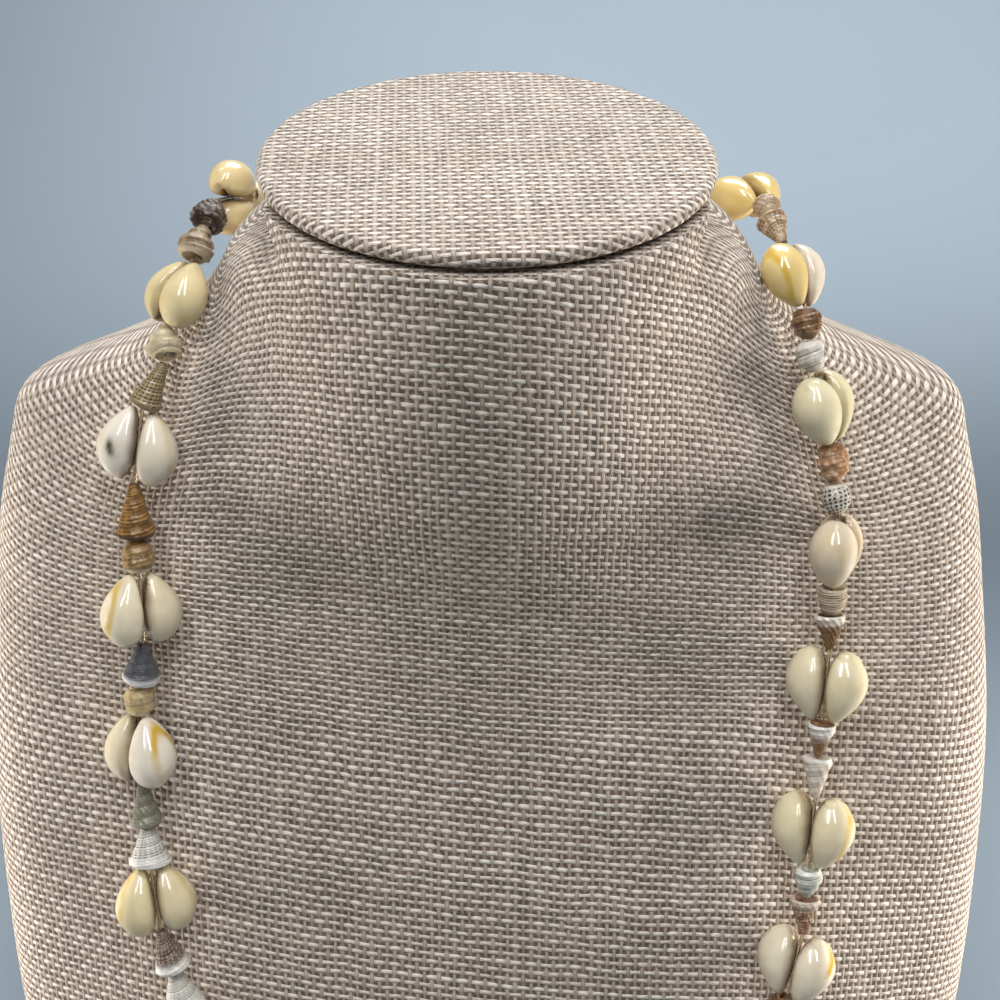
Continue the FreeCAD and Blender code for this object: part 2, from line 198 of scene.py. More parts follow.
linen, tree, surface = new_material("natural linen")
uv = node(tree, "UVMap", {"uv_map": "weave"})
wander = node(tree, "TexNoise", Vector=uv, Scale=0.22, Detail=1.0, out="Color")
spread = node(tree, "VectorMath", "SUBTRACT", wander, (0.5, 0.5, 0.5))
spread = node(tree, "VectorMath", "SCALE", spread, Scale=0.55)
threads = node(tree, "VectorMath", "ADD", uv, spread)
u = node(tree, "SeparateXYZ", Vector=threads)
v = u.node.outputs[1]
warp_number = node(tree, "Math", "FLOOR", u)
weft_number = node(tree, "Math", "FLOOR", v)
u_in = node(tree, "Math", "SUBTRACT", node(tree, "Math", "FRACT", u), 0.5)
v_in = node(tree, "Math", "SUBTRACT", node(tree, "Math", "FRACT", v), 0.5)
wave_u = node(tree, "Math", "MULTIPLY", node(tree, "Math", "SUBTRACT", u, 0.5), math.pi)
wave_v = node(tree, "Math", "MULTIPLY", node(tree, "Math", "SUBTRACT", v, 0.5), math.pi)
wave_u = node(tree, "Math", "COSINE", wave_u)
wave_v = node(tree, "Math", "COSINE", wave_v)
over = node(tree, "Math", "MULTIPLY", wave_u, wave_v)
cell = node(tree, "CombineXYZ", X=warp_number, Y=weft_number)
cell_noise = node(tree, "TexWhiteNoise", {"noise_dimensions": "2D"}, Vector=cell)
weft_noise = node(tree, "TexWhiteNoise", {"noise_dimensions": "1D"}, W=weft_number)
warp_noise = node(tree, "TexWhiteNoise", {"noise_dimensions": "1D"}, W=warp_number)


def thread_height(offset, lift):
    """Height of a round thread across its width, lifted where it lies on top."""
    width = node(tree, "Math", "MULTIPLY_ADD", cell_noise, 0.06, THREAD_HALF_WIDTH - 0.03)
    ratio = node(tree, "Math", "DIVIDE", offset, width)
    square = node(tree, "Math", "SUBTRACT", 1.0, node(tree, "Math", "MULTIPLY", ratio, ratio))
    round_top = node(tree, "Math", "SQRT", node(tree, "Math", "MAXIMUM", square, 0.0))
    inside = node(tree, "Math", "GREATER_THAN", square, 0.0)
    height = node(tree, "Math", "MULTIPLY_ADD", round_top, THREAD_ROUND, lift)
    return node(tree, "Math", "MULTIPLY_ADD", node(tree, "Math", "ADD", height, 0.6), inside, -0.6)


weft = thread_height(v_in, node(tree, "Math", "MULTIPLY", over, 0.20))
warp = thread_height(u_in, node(tree, "Math", "MULTIPLY_ADD", over, -0.16, -0.04))
height = node(tree, "Math", "MAXIMUM", node(tree, "Math", "MAXIMUM", weft, warp), GAP_LEVEL)
weft_top = node(tree, "Math", "GREATER_THAN", weft, warp)
in_gap = node(tree, "Math", "LESS_THAN", height, GAP_LEVEL + 0.02)
fibre = node(tree, "TexNoise", Vector=threads, Scale=3.2, Detail=2.0, Roughness=0.7)
patch = node(tree, "TexNoise", Vector=threads, Scale=0.06, Detail=0.0)
COLOURS = {"data_type": "RGBA"}
TIMES = {"data_type": "RGBA", "blend_type": "MULTIPLY"}
cream, pale_cream = linear("#dacfc3"), linear("#eae2d8")
flax, pale_flax = linear("#ab9c8e"), linear("#beb0a3")
weft_colour = node(tree, "Mix", COLOURS, weft_noise, in6=cream, in7=pale_cream, out=2)
warp_colour = node(tree, "Mix", COLOURS, warp_noise, in6=flax, in7=pale_flax, out=2)
thread_colour = node(tree, "Mix", COLOURS, weft_top, in6=warp_colour, in7=weft_colour, out=2)
# Painted light and shade: each thread is darker where it dips below its neighbours, a little lighter on its
# crown, and has fine painted shade along the twist of its plies.
depth = node(tree, "MapRange", None, height, GAP_LEVEL, 0.34, 0.50, 1.05)
ply_weft = node(tree, "Math", "MULTIPLY_ADD", v_in, 26.0, node(tree, "Math", "MULTIPLY", u, 7.0))
ply_warp = node(tree, "Math", "MULTIPLY_ADD", u_in, 26.0, node(tree, "Math", "MULTIPLY", v, 7.0))
ply_weft = node(tree, "Math", "SINE", ply_weft)
ply_warp = node(tree, "Math", "SINE", ply_warp)
ply = node(tree, "Mix", {"data_type": "FLOAT"}, weft_top, in2=ply_warp, in3=ply_weft)
shade = node(tree, "Math", "MULTIPLY", depth, node(tree, "Math", "MULTIPLY_ADD", ply, 0.07, 1.0))
for unevenness, reach, least in ((fibre, 0.5, 0.75), (cell_noise, 0.16, 0.92), (patch, 0.24, 0.88)):
    unevenness = node(tree, "Math", "MULTIPLY_ADD", unevenness, reach, least)
    shade = node(tree, "Math", "MULTIPLY", shade, unevenness)
grey = node(tree, "CombineXYZ", X=shade, Y=shade, Z=shade)
cloth = node(tree, "Mix", TIMES, 1.0, in6=thread_colour, in7=grey, out=2)
# Painted shade in the square gaps between the threads: brown, a little darker or lighter from cell to cell.
painted_gap_shade = node(tree, "Mix", COLOURS, cell_noise, in6=linear("#5d4f43"), in7=linear("#857466"), out=2)
cloth = node(tree, "Mix", COLOURS, in_gap, in6=cloth, in7=painted_gap_shade, out=2)
tree.links.new(cloth, surface.inputs["Base Color"])
surface.inputs["Roughness"].default_value = 0.88
surface.inputs["Specular IOR Level"].default_value = 0.25
surface.inputs["Sheen Weight"].default_value = 0.12
fuzz = node(tree, "Math", "MULTIPLY_ADD", ply, 0.02, height)
fuzz = node(tree, "Math", "MULTIPLY_ADD", fibre, 0.14, fuzz)
relief = node(tree, "Bump", Height=fuzz, Strength=0.75, Distance=THREAD_PITCH)
tree.links.new(relief, surface.inputs["Normal"])

bust = build("linen_cover", points, faces, np.concatenate(uvs), "weave", linen)
bust.data.polygons[len(faces) - 1].use_smooth = False
bust.data.polygons[len(faces) - 2].use_smooth = False
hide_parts("bust_form")
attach(bust, "root")

# The neck's cap: a thin disc under the same linen, laid on the top of the neck and sewn to the
# cover round its edge. It tilts forward with the neck.
CAP_ROUND = 180
CAP_EDGE = 0.0016
CAP_TURN = math.radians(-3.0)
cap_points, _ = triangles(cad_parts["neck_cap"])
cap_up = np.array([0.0, -math.sin(NECK_TILT), math.cos(NECK_TILT)])
cap_side = np.array([1.0, 0.0, 0.0])
cap_back = np.cross(cap_up, cap_side)
cap_middle = 0.5 * (cap_points.min(0) + cap_points.max(0))
reach_up = (cap_points - cap_middle) @ cap_up
reach_out = np.hypot((cap_points - cap_middle) @ cap_side, (cap_points - cap_middle) @ cap_back)
cap_radius = reach_out.max() - 0.0006
cap_top, cap_under = reach_up.max(), reach_up.min()
cap_centre, cap_half = 0.5 * (cap_top + cap_under), 0.5 * (cap_top - cap_under)
cap_flat = cap_radius - CAP_EDGE
profile = [(r, cap_top + 0.0004 * (1 - (r / cap_radius) ** 2)) for r in np.linspace(0.0005, cap_flat, 40)]
for bend in np.linspace(math.pi / 9, math.pi, 9):
    profile.append((cap_flat + CAP_EDGE * math.sin(bend), cap_centre + cap_half * math.cos(bend)))
profile.append((cap_flat - 0.004, cap_under))
points = []
plan = []
run = 0.0
for place, (radius, up) in enumerate(profile):
    run += math.dist(profile[place - 1], (radius, up)) if place else radius
    for i in range(CAP_ROUND):
        turn = 2 * math.pi * i / CAP_ROUND
        sideways, back = radius * math.sin(turn), -radius * math.cos(turn)
        points.append(cap_middle + cap_side * sideways + cap_back * back + cap_up * up)
        plan.append((run * math.sin(turn), -run * math.cos(turn)))
points, plan = np.array(points), np.array(plan)
quads = grid_faces(len(profile), CAP_ROUND)[:, ::-1]
centre = np.arange(CAP_ROUND)
last = (len(profile) - 1) * CAP_ROUND + np.arange(CAP_ROUND)
faces = [tuple(q) for q in quads] + [tuple(centre), tuple(last[::-1])]
order = np.concatenate([quads.ravel(), centre, last[::-1]])
flat = plan[order]
uvs = np.stack([flat[:, 0] * math.cos(CAP_TURN) - flat[:, 1] * math.sin(CAP_TURN),
                flat[:, 0] * math.sin(CAP_TURN) + flat[:, 1] * math.cos(CAP_TURN)], -1) / THREAD_PITCH
cap = build("linen_cap", points, faces, uvs, "weave", linen)
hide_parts("neck_cap")
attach(cap, "root")

# The thread: one clear nylon monofilament, 0.8 mm thick, in one closed loop through every shell.
# Clear line gives the eye a thin pale glint between the shells.
nylon, _, surface = new_material("clear nylon line")
surface.inputs["Base Color"].default_value = linear("#e6d9bd")
surface.inputs["Roughness"].default_value = 0.25
surface.inputs["Transmission Weight"].default_value = 0.92
surface.inputs["IOR"].default_value = 1.33
surface.inputs["Specular IOR Level"].default_value = 0.2
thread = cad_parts["thread"]
thread.data.materials.clear()
thread.data.materials.append(nylon)
thread_points, thread_faces = triangles(thread)

# The cowries: ring cowries strung through their narrow ends in pairs, mouth to mouth, so that
# each pair opens like a beak. Their backs are glossy porcelain, their mouths toothed slots.
loop_middle = 0.5 * (thread_points.min(0) + thread_points.max(0))


def string_way(point):
    """Which way the string runs at a point: down the left of the chest and up the right."""
    return np.array([-(point[2] - loop_middle[2]), 0.0, point[0] - loop_middle[0]])


def string_turn(point):
    """How far round the loop a point lies, as an angle."""
    return math.atan2(point[2] - loop_middle[2], point[0] - loop_middle[0])


def islands(cad):
    """The separate solids of a CAD node, each as its triangles' corners."""
    points, faces = triangles(cad)
    keys = {}
    welded = np.array([keys.setdefault(tuple(np.round(p * 1e6).astype(int)), len(keys)) for p in points])
    parent = list(range(len(keys)))

    def root(i):
        while parent[i] != i:
            parent[i] = parent[parent[i]]
            i = parent[i]
        return i

    for a, b, c in welded[faces]:
        parent[root(a)] = root(b)
        parent[root(b)] = root(c)
    groups = np.array([root(welded[f[0]]) for f in faces])
    return [points[faces[groups == g]] for g in dict.fromkeys(groups)]


def cowrie_frame(corners):
    """Origin at the drilled narrow end, axes along, across and away from the mouth, and sizes."""
    crosses = np.cross(corners[:, 1] - corners[:, 0], corners[:, 2] - corners[:, 0])
    areas = np.linalg.norm(crosses, axis=1) / 2
    normals = crosses / (2 * areas[:, None] + 1e-18)
    best = max(range(0, len(normals), 3), key=lambda i: areas[normals @ normals[i] > 0.9995].sum())
    back = -normals[best]
    centres = corners.mean(axis=1)
    middle = (centres * areas[:, None]).sum(0) / areas.sum()
    spread = centres - middle
    spread = spread - np.outer(spread @ back, back)
    _, _, axes = np.linalg.svd(spread * np.sqrt(areas)[:, None], full_matrices=False)
    along = axes[0]
    if along @ string_way(middle) < 0:
        along = -along
    across = np.cross(back, along)
    flat = corners.reshape(-1, 3)
    reach = [(flat @ axis).min() for axis in (along, across, back)]
    size = [(flat @ axis).max() - low for axis, low in zip((along, across, back), reach)]
    origin = along * reach[0] + across * (reach[1] + size[1] / 2) + back * reach[2]
    return origin, (along, across, back), size


COWRIE_ROWS = 64
COWRIE_ROUND = 52
SEAT = 0.30         # how high the widest line lies, as a share of the shell's height
BASE_BULGE = 0.85   # how far the mouth side fills the V towards its partner
TEETH = 17


def cowrie_shape(size, lean):
    """Points of one cowrie, rows along it and columns round it, with masks for the painted shade in its mouth
    and on its base, and its grid.
    """
    length, width, height = size
    share = 0.5 - 0.5 * np.cos(np.linspace(0.0, math.pi, COWRIE_ROWS))
    share = np.clip(share, 0.0015, 0.9985)
    outline = np.sin(math.pi * share ** 1.12) ** 0.5
    outline = outline * (1.0 + 0.10 * (share - 0.5))
    outline = outline / outline.max()
    back_line = np.sin(math.pi * share ** 1.25) ** 0.62
    back_line = back_line / back_line.max()
    turn = 2 * math.pi * np.arange(COWRIE_ROUND) / COWRIE_ROUND
    sideways = np.sign(np.cos(turn)) * np.abs(np.cos(turn)) ** 0.92
    up = np.sin(turn)
    x = np.repeat(share[:, None], COWRIE_ROUND, 1) * length
    y = outline[:, None] * sideways[None, :] * width / 2
    dome = np.where(up > 0, np.abs(up) ** 0.95, 0.0)
    belly = np.where(up < 0, np.abs(up) ** 0.55, 0.0)
    z = (SEAT + (1 - SEAT) * dome[None, :] * back_line[:, None]) * height
    z = z - (SEAT * belly[None, :] * (outline[:, None] ** 0.5)) * height
    z = np.where(dome[None, :] + belly[None, :] == 0, SEAT * height, z)
    z = z - BASE_BULGE * math.tan(lean) * x * belly[None, :] ** 0.6 * outline[:, None]
    under = belly[None, :] > 0.2
    slot_y = 0.10 * width * np.sin(2.2 * (share - 0.45))[:, None]
    off = (y - slot_y) / (0.045 * width)
    open_here = np.clip((share - 0.04) / 0.08, 0, 1) * np.clip((0.97 - share) / 0.06, 0, 1)
    slot = np.exp(-off ** 2) * open_here[:, None]
    teeth = 0.5 + 0.5 * np.cos(2 * math.pi * share * TEETH)[:, None]
    comb = np.exp(-((np.abs(off) - 2.2) / 1.4) ** 2) * teeth * open_here[:, None]
    z = z + np.where(under, slot * 0.12 * height + comb * 0.02 * height, 0.0)
    knob = np.exp(-((share[:, None] - 0.94) / 0.032) ** 2 - ((turn[None, :] - 1.9) / 0.32) ** 2)
    z = z + knob * 0.04 * height
    x = x + knob * 0.01 * length
    # Masks for painted shade: the mouth's slot and the grooves between its teeth, and the base that faces the
    # partner shell.
    mouth = np.where(under, 1.0, 0.0) * np.clip(slot + 0.45 * comb, 0, 1)
    base = belly[None, :] ** 2.5 * np.ones_like(x)
    return np.stack([x, y, z], -1), np.clip(mouth, 0, 1), base, share, turn


# Ring cowrie porcelain: ivory glaze with a soft depth and a thin broken golden ring on the back,
# with painted brown shade on the base where the shells of a pair face each other and painted dark
# shade in the mouth. It gives the eye two bright glints on each shell.
RING_LENGTH = 0.37
RING_WIDTH = 0.10
porcelain, tree, surface = new_material("glazed cowrie shell")
uv = node(tree, "UVMap", {"uv_map": "shell"})
place = node(tree, "TexCoord", out="Object")
tint = node(tree, "Attribute", {"attribute_name": "tint"}, out="Color")
marks = node(tree, "Attribute", {"attribute_name": "marks"}, out="Color")
marks = node(tree, "SeparateXYZ", Vector=marks).node.outputs
ring_strength, mouth_here, gap_here = marks[0], marks[1], marks[2]
cloud = node(tree, "TexNoise", Vector=place, Scale=260.0, Detail=2.0)
soft_cloud = node(tree, "TexNoise", Vector=place, Scale=90.0, Detail=2.0)
place_on_shell = node(tree, "SeparateXYZ", Vector=uv).node.outputs
wavy = node(tree, "Math", "MULTIPLY", node(tree, "Math", "SUBTRACT", soft_cloud, 0.5), 0.5)
along = node(tree, "Math", "SUBTRACT", place_on_shell[0], 0.50)
along = node(tree, "Math", "DIVIDE", along, RING_LENGTH)
round_it = node(tree, "Math", "SUBTRACT", place_on_shell[1], 0.25)
round_it = node(tree, "Math", "DIVIDE", round_it, RING_WIDTH)
distance = node(tree, "Math", "MULTIPLY", round_it, round_it)
distance = node(tree, "Math", "SQRT", node(tree, "Math", "MULTIPLY_ADD", along, along, distance))
distance = node(tree, "Math", "SUBTRACT", node(tree, "Math", "ADD", distance, wavy), 1.0)
distance = node(tree, "Math", "ABSOLUTE", distance)
feathered = {"interpolation_type": "SMOOTHSTEP"}
line = node(tree, "MapRange", feathered, distance, 0.04, 0.42, 1.0, 0.0)
broken = node(tree, "MapRange", None, soft_cloud, 0.40, 0.54, 0.25, 1.0)
line = node(tree, "Math", "MULTIPLY", line, broken)
line = node(tree, "Math", {"operation": "MULTIPLY", "use_clamp": True}, line, ring_strength)
shade = node(tree, "MapRange", None, cloud, 0.3, 0.75, 0.0, 0.30)
# Painted shade: clouded brown on the base where the two shells of a pair face each other across the V, and
# dark brown in the mouth's slot and between its teeth.
pair_gap_shade = node(tree, "Math", "MULTIPLY_ADD", cloud, 0.8, 0.25)
pair_gap_shade = node(tree, "Math", {"operation": "MULTIPLY", "use_clamp": True}, gap_here, pair_gap_shade)
glaze = tint
for share, colour in ((shade, "#c2ad84"), (line, "#d0aa3c"), (pair_gap_shade, "#6f4a28"), (mouth_here, "#4a2f1a")):
    glaze = node(tree, "Mix", COLOURS, share, in6=glaze, in7=linear(colour), out=2)
tree.links.new(glaze, surface.inputs["Base Color"])
surface.inputs["Roughness"].default_value = 0.20
surface.inputs["Coat Weight"].default_value = 0.7
surface.inputs["Coat Roughness"].default_value = 0.03
surface.inputs["Subsurface Weight"].default_value = 0.08
surface.inputs["Subsurface Radius"].default_value = (0.0022, 0.0014, 0.0009)
surface.inputs["Subsurface Scale"].default_value = 1.0
dimple = node(tree, "Bump", Height=cloud, Strength=0.05, Distance=0.0006)
tree.links.new(dimple, surface.inputs["Normal"])

# Tint of each shell of a pair, and how strong its ring is: the ones that show, in string order
COWRIE_LOOKS = {
    1: (("#e6d3a0", 0.2), ("#e4d09c", 0.2)),
    2: (("#e6d6a6", 0.1), ("#e6d6a8", 0.1)),
    3: (("#efe9dc", 0.3), ("#f0e8d4", 0.8)),
    4: (("#f0e7cc", 0.8), ("#ece0c2", 0.2)),
    5: (("#e4dabd", 0.1), ("#f1eadb", 1.0)),
    6: (("#ebddb2", 0.9), ("#ebddb8", 0.4)),
    15: (("#ece3ca", 0.1), ("#efe6cf", 1.0)),
    16: (("#e8deba", 0.1), ("#ebe0bd", 1.0)),
    17: (("#ebe1c2", 0.2), ("#e8ddba", 0.1)),
    18: (("#e4d6be", 0.2), ("#e0cfb2", 0.2)),
    19: (("#e8e0be", 0.1), ("#e4dbb4", 0.1)),
    20: (("#e8cf8c", 0.9), ("#ece2cf", 0.1)),
    21: (("#e3ca84", 0.4), ("#e3ca84", 0.2)),
}
PLAIN_COWRIES = (("#e9dfc6", 0.7), ("#e4d6b2", 0.2), ("#ece6d8", 0.5), ("#e2d0a2", 0.9), ("#e6dfcc", 0.1))
# A black scar that one shell kept from the reef: pair, shell, place along it, and side it faces
BLEMISH = (3, 0, 0.56, np.array([-0.3, -0.85, 0.3]))
pair_names = sorted(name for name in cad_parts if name.startswith("cowrie_pair_"))
for number, name in enumerate(pair_names, 1):
    rng = np.random.default_rng(100 + number)
    shells = islands(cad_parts[name])
    shells.sort(key=lambda corners: corners.reshape(-1, 3)[:, 0].mean())
    points, faces, uvs, tints, marks = [], [], [], [], []
    frames = [cowrie_frame(corners) for corners in shells]
    lean = math.acos(min(1.0, float(frames[0][1][0] @ frames[1][1][0]))) / 2
    for place_in_pair, (origin, (along, across, back), size) in enumerate(frames):
        shape, mouth, base, share, turn = cowrie_shape(size, lean)
        body = origin + shape @ np.array([along, across, back])
        first = len(points) * COWRIE_ROWS * COWRIE_ROUND
        quads = grid_faces(COWRIE_ROWS, COWRIE_ROUND)
        columns = quads % COWRIE_ROUND
        v = columns / COWRIE_ROUND
        v = np.where((columns == 0) & (columns.max(axis=1, keepdims=True) == COWRIE_ROUND - 1), 1.0, v)
        u = share[quads // COWRIE_ROUND]
        ends = (np.arange(COWRIE_ROUND)[::-1], (COWRIE_ROWS - 1) * COWRIE_ROUND + np.arange(COWRIE_ROUND))
        faces += [tuple(q + first) for q in quads] + [tuple(ring + first) for ring in ends]
        uvs.append(np.stack([u, v], -1).reshape(-1, 2))
        uvs += [np.full((COWRIE_ROUND, 2), (end, 0.25)) for end in (0.0, 1.0)]
        looks = COWRIE_LOOKS.get(number) or [PLAIN_COWRIES[i] for i in rng.integers(0, len(PLAIN_COWRIES), 2)]
        colour, ring_strength = looks[place_in_pair]
        points.append(body.reshape(-1, 3))
        tint_here = np.tile(linear(colour), (COWRIE_ROWS, COWRIE_ROUND, 1))
        if (number, place_in_pair) == BLEMISH[:2]:
            facing = np.arctan2(BLEMISH[3] @ back, BLEMISH[3] @ across)
            off = (turn[None, :] - facing + math.pi) % (2 * math.pi) - math.pi
            off = off + (share[:, None] - 0.5)
            spot = np.exp(-((share[:, None] - BLEMISH[2]) / 0.10) ** 2 - (off / 0.16) ** 2)
            spot = np.clip(spot * 1.5, 0, 1)[:, :, None]
            tint_here = tint_here + (np.array(linear("#2b2a1e")) - tint_here) * spot
        tints.append(tint_here.reshape(-1, 4))
        # The ring's strength, then the masks for the painted shade in the mouth and on the base.
        ones = np.ones_like(base)
        marks.append(np.stack([ring_strength * ones, mouth, 0.95 * base, ones], -1).reshape(-1, 4))
    pair = build(name + "_glazed", np.concatenate(points), faces, np.concatenate(uvs), "shell", porcelain,
                 {"tint": np.concatenate(tints), "marks": np.concatenate(marks)})
    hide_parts(name)
    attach(pair, "root")

# The small shells: tops, turbans, nerites and barrels from the beach, two between each pair of
# cowries, drilled through and strung apex first. Each is a coil of whorls that ends in a mouth.
thread_ends = thread_points[thread_faces]
thread_edges = np.concatenate([thread_ends[:, [0, 1]], thread_ends[:, [1, 2]], thread_ends[:, [2, 0]]])
thread_edges = thread_edges[np.linalg.norm(thread_edges[:, 1] - thread_edges[:, 0], axis=1) > 0.0025]


def small_shell_frame(corners):
    """The drilled axis of one small shell from its apex, and its length and radius."""
    crosses = np.cross(corners[:, 1] - corners[:, 0], corners[:, 2] - corners[:, 0])
    areas = np.linalg.norm(crosses, axis=1)
    middle = (corners.mean(axis=1) * areas[:, None]).sum(0) / areas.sum()
    start, run = thread_edges[:, 0], thread_edges[:, 1] - thread_edges[:, 0]
    share = np.clip(((middle - start) * run).sum(1) / (run ** 2).sum(1), 0, 1)
    away = np.linalg.norm(start + run * share[:, None] - middle, axis=1)
    along = run[away.argmin()] / np.linalg.norm(run[away.argmin()])
    if along @ string_way(middle) < 0:
        along = -along
    flat = corners.reshape(-1, 3) - middle
    first = (flat @ along).min()
    radius = np.linalg.norm(flat - np.outer(flat @ along, along), axis=1).max()
    return middle + along * first, along, (flat @ along).max() - first, radius


# Outline of each form from the apex to the rim: shares of the length and of the radius, and how
# far in the base starts.
SHELL_FORMS = {
    "top": ((0.0, 0.26), (0.25, 0.44), (0.5, 0.64), (0.75, 0.83), (0.90, 0.97), (0.96, 0.98), (1.0, 0.86)),
    "turban": ((0.0, 0.30), (0.14, 0.50), (0.35, 0.74), (0.6, 0.94), (0.8, 0.98), (0.94, 0.84), (1.0, 0.62)),
    "nerite": ((0.0, 0.34), (0.12, 0.62), (0.3, 0.88), (0.55, 0.99), (0.8, 0.92), (0.94, 0.74), (1.0, 0.56)),
    "barrel": ((0.0, 0.58), (0.15, 0.76), (0.4, 0.90), (0.65, 0.96), (0.85, 0.93), (0.96, 0.86), (1.0, 0.76)),
}


BASE_ROWS = 9
MOUTH_TURN = 0.9


def coil_shape(form, length, radius, whorls, bulge, ribs, cords, pits, lip_width, rows, columns):
    """Points of one coiled shell along x, with its coil coordinate, lip, hollows (a mask for painted shade)
    and side.
    """
    knots = np.array(SHELL_FORMS[form])
    share = np.concatenate([np.linspace(0, 1, rows - BASE_ROWS), np.ones(BASE_ROWS)])
    inward = np.concatenate([np.ones(rows - BASE_ROWS), np.linspace(0.92, 0.0, BASE_ROWS)])
    outline = np.interp(share, knots[:, 0], knots[:, 1])
    smooth = np.convolve(np.pad(outline[:rows - BASE_ROWS], 2, mode="edge"), np.ones(5) / 5, mode="valid")
    outline[:rows - BASE_ROWS] = smooth
    turn = 2 * math.pi * np.arange(columns) / columns
    coil = whorls * share[:, None] ** 0.82 - turn[None, :] / (2 * math.pi)
    phase = coil - np.floor(coil)
    swell = np.sin(math.pi * phase) ** 0.6
    fade = np.clip(share / 0.08, 0, 1)[:, None] * np.clip((1.02 - share) / 0.08, 0, 1)[:, None]
    ribbed = ribs[1] * np.cos(ribs[0] * (turn[None, :] + 0.6 * coil)) * swell
    corded = cords[1] * np.cos(2 * math.pi * cords[0] * coil)
    out = outline[:, None] * (1 - bulge + bulge * swell + (ribbed + corded) * fade)
    lip = np.exp(-((turn - MOUTH_TURN) / 0.55) ** 2)[None, :] * np.clip((share - 0.72) / 0.28, 0, 1)[:, None]
    out = out * (1 + 0.05 * lip)
    # Holes dent the shell; they and the mouth are masked as hollows, for painted shade.
    hollow = np.zeros_like(out)
    for pit_share, pit_turn, pit_size in pits:
        apart = (turn[None, :] - pit_turn + math.pi) % (2 * math.pi) - math.pi
        off = ((share[:, None] - pit_share) * length / radius) ** 2 + (apart * out) ** 2
        hole = np.exp(-off / pit_size ** 2)
        hole = np.where(inward[:, None] >= 1, hole, 0)
        out = out * (1 - 0.42 * hole)
        hollow = np.maximum(hollow, np.clip(hole * 1.7 - 0.35, 0, 1))
    bore = 0.0009 / radius
    out = bore + (out - bore) * inward[:, None]
    x = np.repeat(share[:, None] * length, columns, 1)
    base = 1 - inward[:, None]
    mouth = np.exp(-((turn - MOUTH_TURN) / 0.75) ** 2)[None, :] * np.sin(math.pi * np.clip(base, 0, 1)) ** 0.7
    x = x - mouth * 0.30 * radius - 0.10 * radius * base
    hollow = np.maximum(hollow, np.clip(mouth * 1.3 - 0.25, 0, 1))
    rim = np.exp(-(np.clip(0.97 - share, 0, None) / lip_width) ** 4)[:, None] * (inward[:, None] >= 0.9)
    points = np.stack([x, out * radius * np.cos(turn), out * radius * np.sin(turn)], -1)
    side = np.where(base > 0, 0.0, 1.0) * np.ones_like(out)
    return points, coil, rim * np.ones_like(out), hollow, side


# Beach shell: chalky to glossy lime in each shell's own two colours, laid in mottles, spiral
# lines or rows of dashes, with a paler lip, dark seams between whorls, and painted dark brown shade
# in its holes and its mouth.
SHELL_MARKS = ("main", "second", "lip", "parts", "pattern")
DASHES_ROUND = 17
LINES_A_WHORL = 4
DASH_ROWS_A_WHORL = 3
lime, tree, surface = new_material("small spiral shells")
place = node(tree, "TexCoord", out="Object")
main, second, lip_colour, parts, pattern = [node(tree, "Attribute", {"attribute_name": name}, out="Color")
                                            for name in SHELL_MARKS]
parts = node(tree, "SeparateXYZ", Vector=parts).node.outputs
lip_here, hollow_here, side_here = parts[0], parts[1], parts[2]
pattern = node(tree, "SeparateXYZ", Vector=pattern).node.outputs
dashed, lined, mottled = pattern[0], pattern[1], pattern[2]
uv = node(tree, "UVMap", {"uv_map": "coil"})
round_coil = node(tree, "SeparateXYZ", Vector=uv)
up_coil = round_coil.node.outputs[1]
speck = node(tree, "TexNoise", Vector=place, Scale=1500.0, Detail=3.0)
mottle = node(tree, "TexNoise", Vector=place, Scale=620.0, Detail=3.0)
grain = node(tree, "TexNoise", Vector=place, Scale=3200.0, Detail=2.0)
lines = node(tree, "Math", "MULTIPLY", up_coil, 2 * math.pi * LINES_A_WHORL)
lines = node(tree, "Math", "ADD", node(tree, "Math", "SINE", lines), mottle)
lines = node(tree, "MapRange", None, lines, 0.5, 1.2, 0.0, 1.0)
bars = node(tree, "Math", "MULTIPLY", mottle, 5.0)
bars = node(tree, "Math", "MULTIPLY_ADD", round_coil, 2 * math.pi * DASHES_ROUND, bars)
bars = node(tree, "Math", "ADD", node(tree, "Math", "SINE", bars), speck)
rows_of = node(tree, "Math", "MULTIPLY", up_coil, 2 * math.pi * DASH_ROWS_A_WHORL)
rows_of = node(tree, "Math", "ADD", node(tree, "Math", "SINE", rows_of), 0.7)
dashes = node(tree, "Math", "MULTIPLY", bars, rows_of)
dashes = node(tree, "MapRange", None, dashes, 0.35, 0.9, 0.0, 1.0)
mottles = node(tree, "MapRange", None, mottle, 0.47, 0.58, 0.0, 1.0)
share = node(tree, "Math", "MULTIPLY", dashes, dashed)
share = node(tree, "Math", "MULTIPLY_ADD", lines, lined, share)
share = node(tree, "Math", "MULTIPLY_ADD", mottles, mottled, share)
uneven = node(tree, "Math", "MULTIPLY_ADD", speck, 0.8, 0.55)
share = node(tree, "Math", {"operation": "MULTIPLY", "use_clamp": True}, share, uneven)
colour = node(tree, "Mix", COLOURS, share, in6=main, in7=second, out=2)
seam = node(tree, "MapRange", None, node(tree, "Math", "FRACT", up_coil), 0.0, 0.13, 0.55, 0.0)
seam = node(tree, "Math", {"operation": "MULTIPLY", "use_clamp": True}, seam, side_here)
lip_share = node(tree, "Math", "MULTIPLY_ADD", mottle, 0.9, 0.55)
lip_share = node(tree, "Math", {"operation": "MULTIPLY", "use_clamp": True}, lip_here, lip_share)
